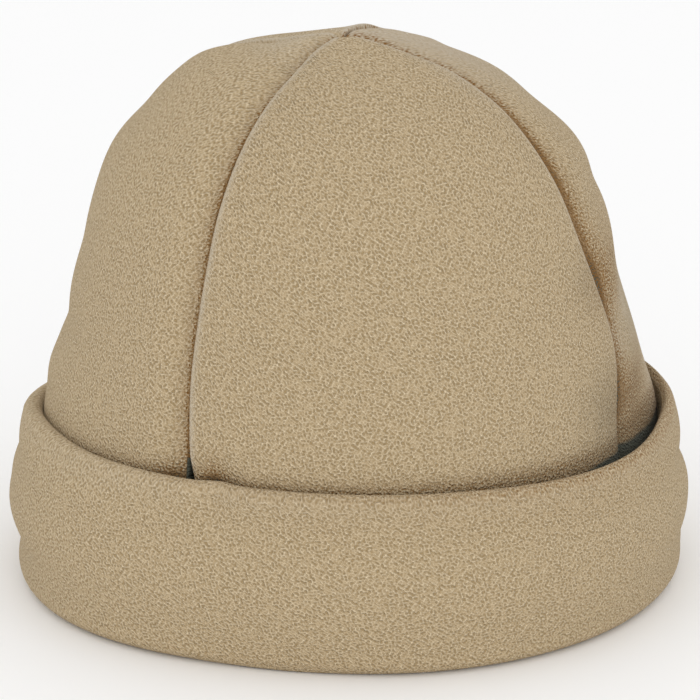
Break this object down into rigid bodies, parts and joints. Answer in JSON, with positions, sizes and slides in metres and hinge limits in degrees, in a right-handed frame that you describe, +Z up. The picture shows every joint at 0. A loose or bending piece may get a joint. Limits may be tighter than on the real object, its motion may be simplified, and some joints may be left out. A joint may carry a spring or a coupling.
{
  "type": "fleece beanie",
  "caption": "Soft fleece beanie with a domed crown sewn from curved panels and a deep doubled cuff turned up round its rim, worn on the head for warmth.",
  "frame": {"origin": "on the surface that the hat stands on, at the middle of the rim", "axes": "+Z up to the apex of the crown, -Y towards the front panel, +X towards the wearer's left when the front panel is worn in front"},
  "size_m": [0.2184, 0.2206, 0.1736],
  "materials": {
    "fleece": "matt sand-coloured polyester fleece with a short pebbly pile"
  },
  "bodies": {
    "root": {"crown_panel_front": "fleece", "crown_panel_right": "fleece", "crown_panel_back": "fleece", "crown_panel_left": "fleece", "cuff": "fleece"}
  },
  "joints": []
}
